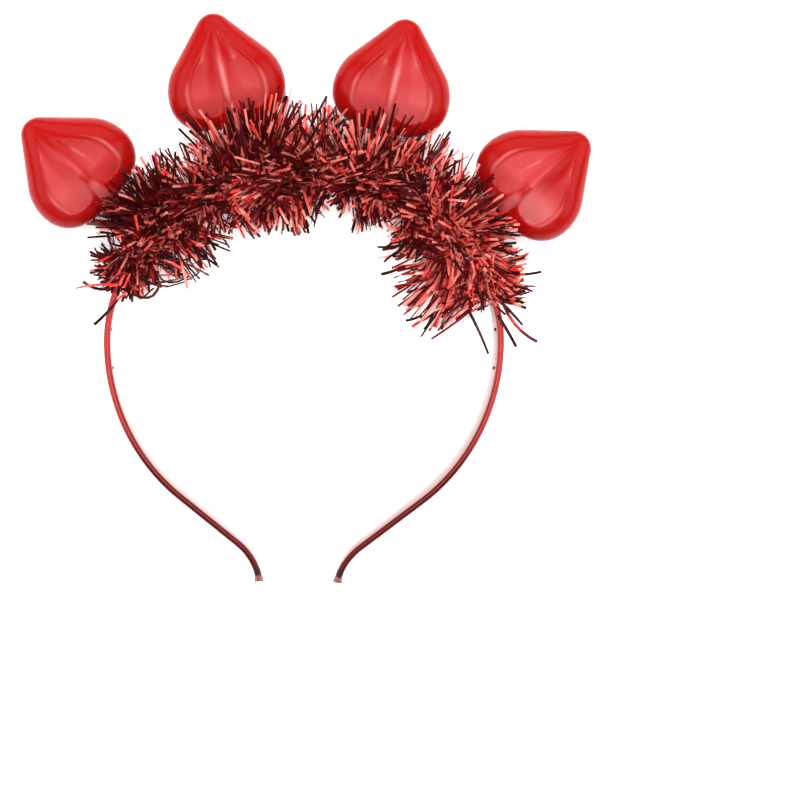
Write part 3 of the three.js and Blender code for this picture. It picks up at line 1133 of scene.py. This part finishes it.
@dataclass
class LampSet:
    """The lamps round the crown, each with its post and its LED."""

    arch: Arch
    lamp: Lamp
    shell_finish: MouldedPolystyrene
    stem_finish: FrostedTube
    led_finish: CastEpoxy
    stem_radius: float = 2.0
    stem_sides: int = 40
    stem_bevel: float = 0.3
    stem_in_lamp: float = 9.5
    led_radius: float = 2.5
    led_flange: float = 2.9
    led_flange_height: float = 1.0
    led_height: float = 8.0
    led_sides: int = 36
    dome_steps: int = 8
    gap: float = 0.3

    def stem(self, place: LampPlace) -> bmesh.types.BMesh:
        """Turn one post with softened ends.

        Args:
            place: The lamp's place.

        Returns:
            The post in the lamp's own frame.
        """
        form = bmesh.new()
        low = -place.post + self.gap
        height = self.stem_in_lamp - low
        bmesh.ops.create_cone(
            form,
            cap_ends=True,
            segments=self.stem_sides,
            radius1=self.stem_radius,
            radius2=self.stem_radius,
            depth=height,
            matrix=Matrix.Translation((0, low + height / 2, 0)) @ Matrix.Rotation(-math.pi / 2, 4, "X"),
        )
        rims = [e for e in form.edges if abs(e.verts[0].co.y - e.verts[1].co.y) < WELD]
        bmesh.ops.bevel(
            form,
            geom=rims,
            offset=self.stem_bevel,
            offset_type="OFFSET",
            affect="EDGES",
            segments=3,
            profile=0.5,
            material=-1,
        )
        return form

    def led(self) -> bmesh.types.BMesh:
        """Spin an LED's profile: flange, barrel and dome.

        Returns:
            The LED in its own frame.
        """
        form = bmesh.new()
        barrel = self.led_height - self.led_radius
        profile = [
            (0, 0),
            (self.led_flange, 0),
            (self.led_flange, self.led_flange_height),
            (self.led_radius, self.led_flange_height),
            (self.led_radius, barrel),
        ]
        for k in range(1, self.dome_steps + 1):
            turn = math.pi / 2 * k / self.dome_steps
            profile.append((self.led_radius * math.cos(turn), barrel + self.led_radius * math.sin(turn)))
        verts = [form.verts.new((x, y, 0)) for x, y in profile]
        edges = [form.edges.new(pair) for pair in zip(verts, verts[1:])]
        bmesh.ops.spin(
            form,
            geom=verts + edges,
            cent=(0, 0, 0),
            axis=(0, 1, 0),
            angle=2 * math.pi,
            steps=self.led_sides,
            use_merge=True,
        )
        bmesh.ops.remove_doubles(form, verts=form.verts, dist=WELD)
        bmesh.ops.recalc_face_normals(form, faces=form.faces)
        bmesh.ops.translate(form, vec=(0, self.stem_in_lamp + self.gap, 0), verts=form.verts)
        return form

    def build(self, lay: Lay) -> None:
        """Build every lamp with its post and LED, and dress them.

        Args:
            lay: How the headband lies.
        """
        shell_material = self.shell_finish.material()
        stem_material = self.stem_finish.material()
        led_material = self.led_finish.material()
        for place in LAMPS:
            matrix = lay.matrix() @ self.lamp.foot(self.arch, place)
            shell = to_mesh(self.lamp.model(place), f"lamp_shell_{place.name}", matrix)
            new_piece(shell.name, shell, shell_material, [f"lamp_{place.name}"], sharp=50)
            stem = to_mesh(self.stem(place), f"stem_tube_{place.name}", matrix)
            new_piece(stem.name, stem, stem_material, [f"lamp_stem_{place.name}"], sharp=40)
            led = to_mesh(self.led(), f"led_dome_{place.name}", matrix)
            new_piece(led.name, led, led_material, [f"led_{place.name}"], sharp=40)


@dataclass(frozen=True)
class GarlandRow:
    """How the tinsel stands off the band at one angle round the crown.

    For the inner and the outer side: reach in millimetres, share of tufts that stand, lean along the
    band in degrees, and share of strips painted dark, as mirroring the dark of the room.
    """

    angle: float
    inner: float
    outer: float
    inner_fill: float
    outer_fill: float
    inner_lean: float
    outer_lean: float
    inner_dark: float
    outer_dark: float


GARLAND = (
    GarlandRow(-78, 5, 5, 0.5, 0.6, -25, 10, 0.9, 1.0),
    GarlandRow(-68, 14, 18, 1.0, 1.0, -20, 0, 0.7, 1.0),
    GarlandRow(-58, 20, 27, 0.8, 1.0, -10, -5, 0.3, 1.0),
    GarlandRow(-48, 28, 32, 0.7, 0.9, -5, 5, 0.25, 1.0),
    GarlandRow(-40, 20, 20, 0.5, 1.0, 0, -10, 0.35, 0.9),
    GarlandRow(-32, 28, 32, 0.5, 1.0, 20, -5, 0.55, 0.65),
    GarlandRow(-24, 24, 36, 0.3, 1.0, -20, -5, 0.65, 0.35),
    GarlandRow(-14, 24, 36, 1.0, 1.0, 0, 25, 0.65, 0.25),
    GarlandRow(-2, 25, 36, 1.0, 1.0, 0, -15, 0.5, 0.2),
    GarlandRow(6, 22, 30, 0.1, 0.9, -30, -5, 0.5, 0.25),
    GarlandRow(13, 10, 28, 1.0, 0.9, -25, 0, 0.5, 0.35),
    GarlandRow(22, 22, 36, 1.0, 1.0, 20, 15, 0.5, 0.35),
    GarlandRow(34, 14, 30, 0.4, 1.0, 0, -10, 0.45, 0.5),
    GarlandRow(42, 20, 28, 0.8, 1.0, 5, -5, 0.35, 0.35),
    GarlandRow(53, 26, 30, 1.0, 1.0, -5, 5, 0.1, 0.0),
    GarlandRow(62, 38, 20, 1.0, 1.0, 10, 30, 0.0, 0.0),
    GarlandRow(72, 36, 18, 0.5, 1.0, -10, 10, 0.0, 0.0),
    GarlandRow(80, 5, 16, 1.0, 0.6, 5, 0, 0.2, 0.1),
)


@dataclass(frozen=True)
class Stray:
    """One loose strip, between two places given as angle round the crown and distance out from the band."""

    start: tuple[float, float]
    end: tuple[float, float]
    height: float
    bow: float
    tone: float
    width: float = 1.15


STRAYS = (
    Stray(start=(-73.9, -3.6), end=(-79.2, -0.6), height=9.0, bow=-0.3, tone=0.7),
    Stray(start=(-79.0, -0.7), end=(-85.3, 4.6), height=9.0, bow=0.2, tone=0.0),
    Stray(start=(-73.0, 0.0), end=(-77.5, 13.5), height=8.0, bow=-0.8, tone=0.6),
    Stray(start=(-74.0, 1.0), end=(-75.5, 12.0), height=6.0, bow=1.6, tone=0.0),
    Stray(start=(-73.6, -5.9), end=(-65.2, -12.3), height=8.0, bow=-3.5, tone=0.05),
    Stray(start=(-68.9, -8.2), end=(-53.4, -20.0), height=7.0, bow=-0.6, tone=0.0),
    Stray(start=(78.0, -9.5), end=(93.7, -3.9), height=9.0, bow=0.3, tone=0.0),
    Stray(start=(82.0, 0.0), end=(91.2, 5.6), height=9.0, bow=0.2, tone=0.0),
    Stray(start=(80.0, 3.0), end=(90.0, 13.0), height=7.0, bow=-1.6, tone=0.4),
    Stray(start=(43.3, -13.6), end=(34.1, -18.9), height=9.0, bow=0.3, tone=0.0),
    Stray(start=(43.4, -15.6), end=(40.0, -22.5), height=8.0, bow=-0.3, tone=0.0),
    Stray(start=(48.9, -19.3), end=(41.9, -26.6), height=9.0, bow=0.3, tone=0.0),
    Stray(start=(73.5, -25.2), end=(72.6, -31.2), height=9.0, bow=0.3, tone=0.0),
    Stray(start=(76.3, -23.6), end=(78.7, -29.9), height=8.0, bow=-0.3, tone=0.6),
    Stray(start=(75.1, -21.6), end=(82.1, -26.0), height=9.0, bow=0.3, tone=0.0),
    Stray(start=(78.3, -7.9), end=(88.3, -23.9), height=8.0, bow=0.3, tone=0.2),
    Stray(start=(72.9, 9.3), end=(74.7, 18.8), height=9.0, bow=-0.3, tone=0.0),
    Stray(start=(75.8, 7.0), end=(77.4, 15.4), height=8.0, bow=0.3, tone=0.0),
    Stray(start=(75.5, 7.9), end=(78.4, 13.9), height=7.0, bow=0.3, tone=0.0),
    Stray(start=(78.1, 4.1), end=(81.7, 10.3), height=9.0, bow=-0.3, tone=0.0),
    Stray(start=(76.7, 0.7), end=(85.8, 8.2), height=8.0, bow=0.3, tone=0.0),
)


@dataclass
class Tinsel:
    """The foil garland: tufts of narrow flat strips that stand out all round the band."""

    arch: Arch
    lamp: Lamp
    lay: Lay
    finish: MetallisedFilm
    start: float = -74.0
    end: float = 79.0
    tufts: int = 700
    post_tufts: int = 12
    post_spread: float = 4.5
    post_turn: tuple[float, float] = (22.0, 44.0)
    per_tuft: int = 8
    turn_step: float = 137.5
    turn_jitter: float = 12.0
    upward: float = 0.5
    width: tuple[float, float] = (0.7, 1.05)
    film: float = 0.06
    root_depth: float = 1.9
    band_half_width: float = 3.95
    angle_spread: float = 0.8
    turn_spread: float = 8.0
    slant: float = 32.0
    top_slant: float = 33.0
    slant_spread: float = 8.0
    tuft_short: float = 0.35
    short_power: float = 1.5
    strip_short: float = 0.14
    least_length: float = 3.0
    curl: float = 0.06
    wispy_end: tuple[float, float] = (-64.0, -44.0)
    wispy_curl: float = 0.16
    wisp_count: int = 40
    wisp_height: tuple[float, float] = (-2.0, 9.0)
    wisp_from: tuple[float, float] = (-69.0, -46.0)
    wisp_root: tuple[float, float] = (-9.0, 3.0)
    wisp_turn: tuple[float, float] = (-3.0, 15.0)
    wisp_reach: tuple[float, float] = (-24.0, -11.0)
    wisp_bow: float = 3.0
    wisp_dark: float = 0.65
    wisp_width: float = 0.7
    twist: float = 30.0
    skyward: float = 0.5
    loose_facing: tuple[float, float, float] = (0.6, -0.6, 1.0)
    floor: float = 0.75
    pile: float = 1.4
    splay: float = 0.4
    steepest: float = 0.2
    lamp_gap: float = 0.5
    lamp_tries: int = 12
    lamp_trim: float = 0.88
    shortest: float = 4.0
    # Painted reflections: dark strips, lit and glinting sections and dark tips stand for what each strip
    # mirrors.
    odd_strip_share: float = 0.26
    lit_share: float = 0.4
    lit_bias: float = 1.4
    glint_chance: float = 0.32
    glint_bias: float = 1.5
    tone_drift: tuple[float, float] = (0.7, 1.2)
    dark_tone: tuple[float, float] = (0.0, 0.16)
    bright_tone: tuple[float, float] = (0.5, 1.0)
    lit_tone: tuple[float, float] = (0.6, 1.0)
    gap_tone: tuple[float, float] = (0.0, 0.3)
    glint_tone: tuple[float, float] = (0.9, 1.0)
    dark_tip_share: float = 0.35
    dark_tip: float = 0.1
    dark_tip_sections: int = 2
    sections: int = 6
    broken_sections: int = 3
    seed: int = 61
    rows: tuple[GarlandRow, ...] = GARLAND

    def column(self, name: str, angle: np.ndarray) -> np.ndarray:
        """Read one column of the garland's table between its rows.

        Args:
            name: Column name.
            angle: Angles round the crown.

        Returns:
            Values at those angles.
        """
        return np.interp(angle, [r.angle for r in self.rows], [getattr(r, name) for r in self.rows])

    def both_sides(self, kind: str, angle: np.ndarray, turn: np.ndarray) -> np.ndarray:
        """Blend the inner and outer columns by the way that a strip points.

        Args:
            kind: Ending of the two column names, empty for the reach.
            angle: Angles round the crown.
            turn: Angles round the band, 0 outwards, in radians.

        Returns:
            Blended values.
        """
        outward = (1 + np.cos(turn)) / 2
        inner = self.column("inner" + kind, angle)
        outer = self.column("outer" + kind, angle)
        return inner * (1 - outward) + outer * outward

    def choose(self, rng: np.random.Generator) -> tuple[np.ndarray, np.ndarray, np.ndarray]:
        """Choose where tufts may stand and which of them do, fewer where the garland is thin.

        Args:
            rng: Seeded random numbers.

        Returns:
            Angle round the crown and angle round the band of each tuft, and whether it stands.
        """
        order = np.arange(self.tufts)
        angle = lerp(self.start, self.end, (order + rng.uniform(0, 1, self.tufts)) / self.tufts)
        turn = np.radians(order * self.turn_step + rng.normal(0, self.turn_jitter, self.tufts))
        raised = (1 + self.upward * np.sin(turn)) / (1 + self.upward)
        stands = rng.uniform(0, 1, self.tufts) < self.both_sides("_fill", angle, turn) * raised
        posts = np.repeat([place.at for place in LAMPS], self.post_tufts)
        beside = posts + rng.uniform(-self.post_spread, self.post_spread, posts.size)
        over = np.radians(rng.uniform(*self.post_turn, posts.size))
        stands = np.concatenate([stands, np.ones(posts.size, dtype=bool)])
        return np.concatenate([angle, beside]), np.concatenate([turn, over]), stands

    def strips(self, rng: np.random.Generator) -> tuple[np.ndarray, np.ndarray]:
        """Lay out the middle line of every strip.

        Args:
            rng: Seeded random numbers.

        Returns:
            Laid points of the strips in millimetres, and the share of dark strips where each one stands.
        """
        angle, turn, stands = self.choose(rng)
        loose = self.slant + self.top_slant * np.maximum(0, np.sin(turn))
        lean = self.both_sides("_lean", angle, turn) + rng.uniform(-1, 1, angle.size) * loose
        size = 1 - self.tuft_short * rng.uniform(0, 1, angle.size) ** self.short_power
        each = self.per_tuft
        angle = np.repeat(angle, each) + rng.normal(0, self.angle_spread, angle.size * each)
        turn = np.repeat(turn, each) + np.radians(rng.normal(0, self.turn_spread, angle.size))
        slant = np.radians(np.repeat(lean, each) + rng.normal(0, self.slant_spread, angle.size))
        size = np.repeat(size, each) * (1 - self.strip_short * rng.uniform(0, 1, angle.size))

        point, heading = self.arch.crown(self.arch.seen(np.clip(angle, self.start, self.end)))
        outward = np.stack([-heading[:, 1], heading[:, 0], np.zeros(angle.size)], axis=-1)
        up = np.array([0.0, 0.0, 1.0])
        spoke = outward * np.cos(turn)[:, None] + up * np.sin(turn)[:, None]
        along = spoke * np.cos(slant)[:, None] + heading * np.sin(slant)[:, None]
        sheer = np.abs(np.sin(turn))
        shift = np.cos(turn) * self.root_depth + rng.uniform(-1, 1, angle.size) * self.band_half_width * sheer
        lift = np.sin(turn) * (self.band_half_width + self.root_depth)
        lift = lift + rng.uniform(-1, 1, angle.size) * self.band_half_width * (1 - sheer)
        root = point + outward * shift[:, None] + up * lift[:, None]
        reach = self.both_sides("", angle, turn) - np.linalg.norm(root - point, axis=-1)
        length = np.maximum(self.least_length, reach) * size

        side = np.cross(along, rng.normal(0, 1, along.shape))
        side = side / np.linalg.norm(side, axis=-1, keepdims=True)
        wispy = np.interp(angle, self.wispy_end, (1, 0))
        bend = rng.normal(0, 1, angle.size) * (self.curl + self.wispy_curl * wispy) * length
        rest = self.floor + self.pile * rng.uniform(0, 1, (angle.size, 1))
        kept = np.repeat(stands, each)
        line = self.settle(root[kept], along[kept], side[kept], length[kept], bend[kept], rest[kept])
        return line, self.both_sides("_dark", angle, turn)[kept]

    def settle(
        self,
        root: np.ndarray,
        along: np.ndarray,
        side: np.ndarray,
        length: np.ndarray,
        bend: np.ndarray,
        rest: np.ndarray,
    ) -> np.ndarray:
        """Shorten the strips that would enter a lamp, lay all down and splay those that meet the table.

        Args:
            root: Where each strip starts.
            along: The way it points.
            side: The way it bends.
            length: Its length.
            bend: How far its tip is bent aside.
            rest: Height over the table that it stops at.

        Returns:
            Laid points of the strips in millimetres.
        """
        for _ in range(self.lamp_tries):
            line = self.draw(root, along, side, length, bend)
            blocked = self.lamp.covers(self.arch, line, self.lamp_gap).any(axis=1)
            length = np.where(blocked & (length > self.shortest), length * self.lamp_trim, length)
        line = self.lay.place(self.draw(root, along, side, length, bend))
        sunk = np.maximum(0, rest - line[..., 2])
        flat = along[:, :2] / np.maximum(self.steepest, np.linalg.norm(along[:, :2], axis=-1, keepdims=True))
        line[..., :2] += flat[:, None, :] * (self.splay * sunk)[..., None]
        line[..., 2] += sunk
        return line

    def wisps(self, rng: np.random.Generator) -> list[Stray]:
        """Choose the thin bowed strips inside the left end.

        Args:
            rng: Seeded random numbers.

        Returns:
            The strips as loose ones.
        """
        found = []
        for _ in range(self.wisp_count):
            angle = rng.uniform(*self.wisp_from)
            start = (angle, rng.uniform(*self.wisp_root))
            end = (angle + rng.uniform(*self.wisp_turn), rng.uniform(*self.wisp_reach))
            tone = 0.0 if rng.uniform() < self.wisp_dark else rng.uniform(*self.bright_tone)
            height = rng.uniform(*self.wisp_height)
            found.append(Stray(start, end, height, rng.normal(0, self.wisp_bow), tone, self.wisp_width))
        return found

    def stray_lines(self, loose: Sequence[Stray]) -> np.ndarray:
        """Draw the loose strips.

        Args:
            loose: The loose strips.

        Returns:
            Laid points of the strips in millimetres.
        """
        lines = []
        run = np.linspace(0, 1, self.sections)
        for stray in loose:
            ends = []
            for angle, out in (stray.start, stray.end):
                point, heading = self.arch.crown(self.arch.seen(np.array([angle])))
                aside = np.array([-heading[0, 1], heading[0, 0], 0.0])
                ends.append(point[0] + aside * out + np.array([0.0, 0.0, stray.height]))
            first, last = ends
            way = last - first
            normal = np.array([-way[1], way[0], 0.0]) / np.linalg.norm(way)
            bowed = normal * (stray.bow * 4 * run * (1 - run))[:, None]
            lines.append(first + way * run[:, None] + bowed)
        return self.lay.place(np.array(lines))

    def draw(
        self,
        root: np.ndarray,
        along: np.ndarray,
        side: np.ndarray,
        length: np.ndarray,
        bend: np.ndarray,
    ) -> np.ndarray:
        """Draw the strips as gentle bends.

        Args:
            root: Where each strip starts.
            along: The way it points.
            side: The way it bends.
            length: Its length.
            bend: How far its tip is bent aside.

        Returns:
            Points of the strips.
        """
        run = np.linspace(0, 1, self.sections)
        straight = along[:, None, :] * (length[:, None] * run)[..., None]
        aside = side[:, None, :] * (bend[:, None] * run**2)[..., None]
        return root[:, None, :] + straight + aside

    def ribbons(
        self,
        line: np.ndarray,
        width: np.ndarray,
        facing: np.ndarray,
        rng: np.random.Generator,
    ) -> np.ndarray:
        """Give every strip its width, thickness and twist.

        Args:
            line: Points of the strips.
            width: Their widths.
            facing: The way that each strip's broad face looks at its root.
            rng: Seeded random numbers.

        Returns:
            Corners of the strips: strip, section, corner and coordinate.
        """
        count = line.shape[0]
        tangent = np.gradient(line, axis=1)
        tangent = tangent / np.maximum(TINY, np.linalg.norm(tangent, axis=-1, keepdims=True))
        first = np.cross(tangent, facing[:, None, :])
        first = first / np.maximum(TINY, np.linalg.norm(first, axis=-1, keepdims=True))
        second = np.cross(tangent, first)
        roll = rng.normal(0, np.radians(self.twist), count)[:, None] * np.linspace(0, 1, self.sections)
        wide = first * np.cos(roll)[..., None] + second * np.sin(roll)[..., None]
        thin = np.cross(tangent, wide)
        half = width[:, None, None] / 2
        signs = ((-1, -1), (1, -1), (1, 1), (-1, 1))
        corners = [line + wide * half * a + thin * (self.film / 2 * b) for a, b in signs]
        return np.stack(corners, axis=2)

    def faces(self, count: int) -> np.ndarray:
        """List the faces of all strips: four sides to each stretch, and two ends.

        Args:
            count: Number of strips.

        Returns:
            Corner numbers of the faces.
        """
        one = []
        for k in range(self.sections - 1):
            for j in range(4):
                here = 4 * k + j
                beside = 4 * k + (j + 1) % 4
                one.append((here, beside, beside + 4, here + 4))
        last = 4 * (self.sections - 1)
        one.append((0, 3, 2, 1))
        one.append((last, last + 1, last + 2, last + 3))
        shift = np.arange(count)[:, None, None] * (4 * self.sections)
        return (np.array(one)[None] + shift).reshape(-1, 4)

    def tones(self, share: np.ndarray, loose: Sequence[float], rng: np.random.Generator) -> np.ndarray:
        """Choose the painted reflection on each face of each strip, dark for the room and bright for a lamp.

        Args:
            share: Share of dark strips where each strip of a tuft stands.
            loose: Brightness of the loose strips.
            rng: Seeded random numbers.

        Returns:
            One value per face, 0 dark and 1 bright.
        """
        count = share.size
        stretches = self.sections - 1
        dark = np.repeat(rng.uniform(0, 1, count // self.per_tuft), self.per_tuft) < share
        dark ^= rng.uniform(0, 1, count) < self.odd_strip_share
        base = np.where(dark, rng.uniform(*self.dark_tone, count), rng.uniform(*self.bright_tone, count))
        base = np.concatenate([base, loose])
        tone = base[:, None] * rng.uniform(*self.tone_drift, (base.size, stretches))
        for k in range(self.broken_sections):
            lit = rng.uniform(0, 1, count) < self.lit_share * (self.lit_bias - share)
            gap = rng.uniform(*self.gap_tone, count)
            tone[:count, k] = np.where(lit, rng.uniform(*self.lit_tone, count), gap)
        chance = self.glint_chance * np.concatenate([self.glint_bias - share, np.zeros(len(loose))])
        glints = rng.uniform(0, 1, tone.shape) < chance[:, None] * (tone > self.gap_tone[1])
        tone = np.where(glints, rng.uniform(*self.glint_tone, tone.shape), tone)
        tipped = rng.uniform(0, 1, base.size) < self.dark_tip_share
        tone[tipped, -self.dark_tip_sections :] *= self.dark_tip
        sides = np.repeat(np.minimum(tone, 1), 4, axis=1)
        return np.concatenate([sides, tone[:, :1], tone[:, -1:]], axis=1).reshape(-1)

    def build(self) -> None:
        """Build the strips as one joined mesh and dress it."""
        rng = np.random.default_rng(self.seed)
        line, share = self.strips(rng)
        loose = [*STRAYS, *self.wisps(rng)]
        line = np.concatenate([line, self.stray_lines(loose)])
        width = np.concatenate([rng.uniform(*self.width, share.size), [stray.width for stray in loose]])
        facing = rng.normal(0, 1, (width.size, 3))
        facing[:, 2] += self.skyward
        facing[share.size :] = self.loose_facing
        corners = self.ribbons(line, width, facing, rng)
        mesh = bpy.data.meshes.new("tinsel_strips")
        mesh.from_pydata((corners * MM).reshape(-1, 3), [], self.faces(width.size))
        tone = mesh.attributes.new("tone", "FLOAT", "FACE")
        values = self.tones(share, [stray.tone for stray in loose], rng)
        tone.data.foreach_set("value", values.astype(np.float32))
        new_piece("tinsel_strips", mesh, self.finish.material(), ["tinsel"], sharp=40)


@dataclass(frozen=True)
class SoftBox:
    """One soft light that faces the headband: its place, its size and the brightness of its face."""

    name: str
    place: tuple[float, float, float]
    size: tuple[float, float]
    brightness: float


@dataclass
class Studio:
    """Pale table, soft lights and a camera straight above the headband."""

    finish: PaleFloor
    floor_size: float = 3.0
    camera_height: float = 1.208
    lens: float = 154.3
    sensor: float = 36.0
    shift: tuple[float, float] = (0.1173, -0.12595)
    room: float = 0.4
    boxes: tuple[SoftBox, ...] = (
        SoftBox("ceiling_panel", (0.0, 0.1, 1.6), (1.2, 1.2), 3.8),
        SoftBox("far_panel", (0.0, 2.0, 1.2), (3.0, 1.2), 2.3),
        SoftBox("near_panel", (0.0, -2.0, 1.2), (3.0, 1.2), 1.2),
        SoftBox("left_panel", (-2.0, 0.0, 1.2), (3.0, 1.2), 3.0),
        SoftBox("right_panel", (2.0, 0.0, 1.2), (3.0, 1.2), 3.3),
        SoftBox("far_strip", (0.0, 1.0, 1.35), (0.9, 0.08), 26.0),
        SoftBox("far_box", (0.0, 0.42, 1.45), (0.25, 0.12), 45.0),
        SoftBox("left_strip", (-0.5, 0.3, 1.4), (0.09, 0.9), 8.0),
        SoftBox("right_strip", (0.56, 0.3, 1.4), (0.09, 0.9), 12.0),
    )

    def build_floor(self) -> None:
        """Lay the table top."""
        form = bmesh.new()
        bmesh.ops.create_grid(form, x_segments=1, y_segments=1, size=self.floor_size / 2)
        mesh = to_mesh(form, "table_top", Matrix.Identity(4))
        mesh.materials.append(self.finish.material())
        floor = bpy.data.objects.new("table_top", mesh)
        bpy.context.scene.collection.objects.link(floor)

    def build_lights(self) -> None:
        """Hang the soft boxes and set the room's dim light."""
        for box in self.boxes:
            light = bpy.data.lights.new(box.name, "AREA")
            light.shape = "RECTANGLE"
            light.size, light.size_y = box.size
            light.energy = box.brightness * math.pi * box.size[0] * box.size[1]
            lamp = bpy.data.objects.new(box.name, light)
            lamp.location = box.place
            lamp.rotation_euler = (-Vector(box.place)).to_track_quat("-Z", "Y").to_euler()
            bpy.context.scene.collection.objects.link(lamp)
        world = bpy.data.worlds.new("room")
        world.use_nodes = True
        tree = world.node_tree
        tree.nodes.clear()
        glow = add_node(tree, "ShaderNodeBackground", {"Strength": self.room})
        add_node(tree, "ShaderNodeOutputWorld", {"Surface": glow.outputs["Background"]})
        bpy.context.scene.world = world
        bpy.context.scene.view_settings.view_transform = "Standard"

    def build_camera(self) -> None:
        """Set the camera straight above, framed by a small shift."""
        camera = bpy.data.cameras.new("camera")
        camera.lens = self.lens
        camera.sensor_width = self.sensor
        camera.shift_x, camera.shift_y = self.shift
        seat = bpy.data.objects.new("camera", camera)
        seat.location = (0, 0, self.camera_height)
        bpy.context.scene.collection.objects.link(seat)
        bpy.context.scene.camera = seat

    def build(self) -> None:
        """Build the table, the lights and the camera."""
        self.build_floor()
        self.build_lights()
        self.build_camera()


def main() -> None:
    """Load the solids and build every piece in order."""
    logging.basicConfig(level=logging.INFO, format="%(name)s: %(message)s")
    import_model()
    lay = Lay()
    arch = Arch()
    lamp = Lamp()
    Studio(PaleFloor()).build()
    Band(arch, MetallisedPlastic()).build(lay)
    LampSet(arch, lamp, MouldedPolystyrene(), FrostedTube(), CastEpoxy()).build(lay)
    Tinsel(arch, lamp, lay, MetallisedFilm()).build()


if __name__ == "__main__":
    main()
